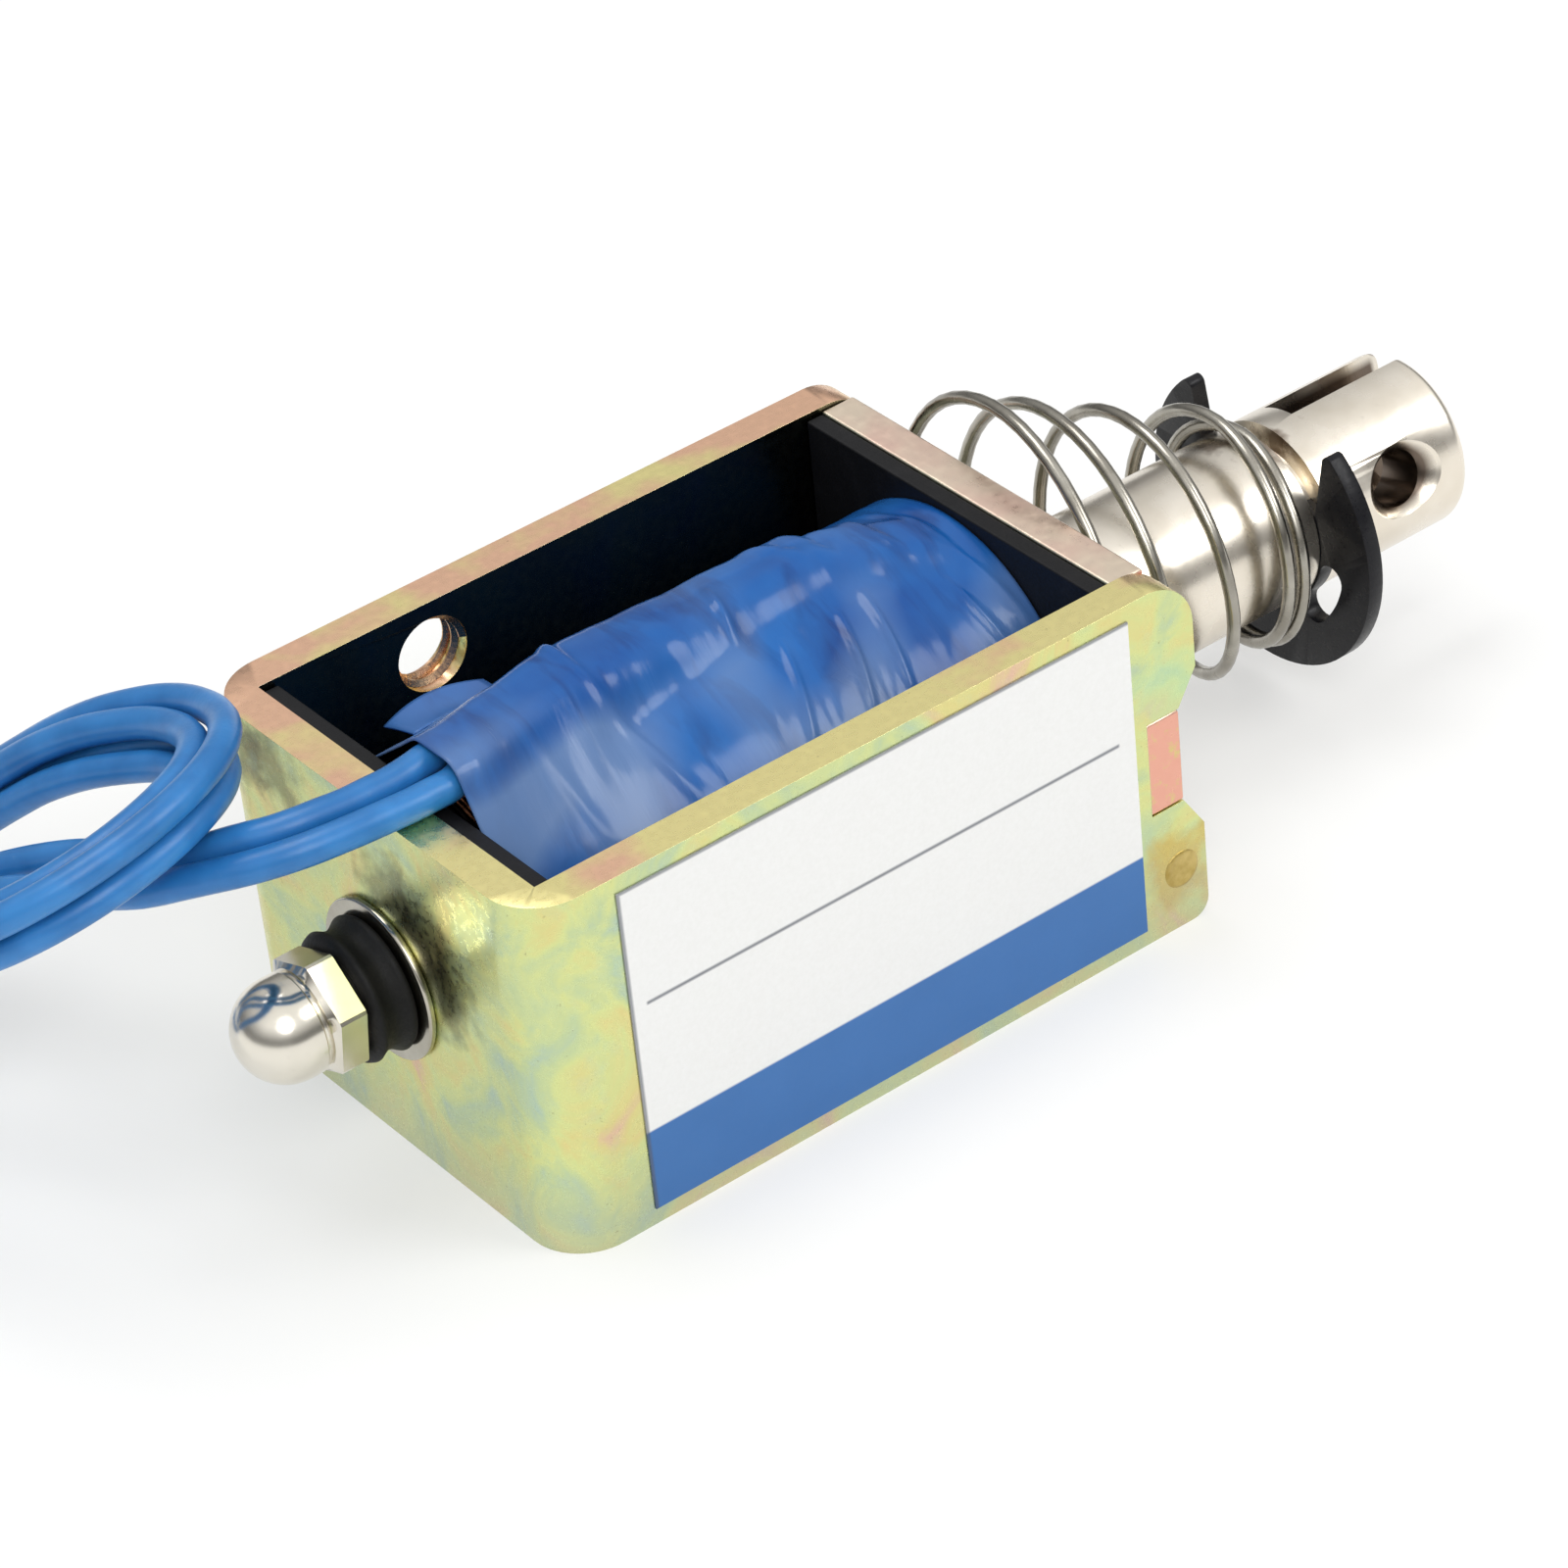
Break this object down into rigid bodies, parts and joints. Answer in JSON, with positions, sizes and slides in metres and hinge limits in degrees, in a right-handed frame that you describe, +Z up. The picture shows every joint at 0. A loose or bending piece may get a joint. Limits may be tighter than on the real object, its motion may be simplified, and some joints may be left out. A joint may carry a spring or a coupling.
{
  "type": "push pull solenoid",
  "caption": "Open-frame push-pull solenoid: a coil in a bent steel yoke pulls a sprung clevis plunger, and pushes with a dome nut.",
  "frame": {"origin": "under the middle of the solenoid's length and width, on the surface it stands on; the leads are left out of this", "axes": "+X along the plunger from the dome nut to the clevis, +Z up, -Y is the labelled side"},
  "size_m": [0.0947, 0.0589, 0.025],
  "materials": {
    "zinc_steel": "yellow zinc plating with faint rainbow patches",
    "plate_steel": "plain zinc plating with a pink cast",
    "nickel": "bright nickel plating",
    "core_steel": "bright riveted steel",
    "spring_steel": "drawn spring wire",
    "black_steel": "blackened spring steel",
    "brass": "drawn brass",
    "copper": "enamelled copper wire",
    "black_nylon": "moulded nylon",
    "film": "polyester film",
    "blue_tape": "glossy polyester tape",
    "black_rubber": "moulded rubber",
    "label_paper": "printed film label, left blank",
    "blue_pvc": "PVC insulation",
    "tie_plastic": "plastic coated twist tie",
    "tinned_copper": "tinned strands"
  },
  "bodies": {
    "frame": {"frame_yoke": "zinc_steel", "front_plate": "plate_steel", "bobbin": "black_nylon", "barrel_film": "film", "guide_tube": "brass", "fixed_core": "core_steel", "core_shim": "brass", "coil_winding": "copper", "winding_tail_a": "copper", "winding_tail_b": "copper", "splice_sleeve_a": "black_nylon", "splice_sleeve_b": "black_nylon", "coil_tape": "blue_tape", "lead_tape": "blue_tape", "return_spring": "spring_steel", "rating_label": "label_paper", "lead_a": "blue_pvc", "lead_b": "blue_pvc", "lead_hank": "blue_pvc", "hank_tie": "tie_plastic", "lead_end_a": "blue_pvc", "lead_end_b": "blue_pvc", "lead_tip_a": "tinned_copper", "lead_tip_b": "tinned_copper"},
    "clip_carriage": {"e_clip": "black_steel"},
    "plunger_set": {"plunger": "nickel", "push_rod": "nickel", "rubber_washer": "black_rubber", "dome_nut": "nickel"}
  },
  "joints": [
    {"name": "plunger_stroke", "type": "slide", "parent": "frame", "child": "clip_carriage", "axis": [-1, 0, 0], "range_m": [0, 0.01], "stiffness_N_per_m": 220, "springref_m": -0.006, "deforming": ["return_spring"]},
    {"name": "plunger_turn", "type": "hinge", "parent": "clip_carriage", "child": "plunger_set", "pos_m": [0.0266, 0, 0.01], "axis": [1, 0, 0], "continuous": true}
  ]
}
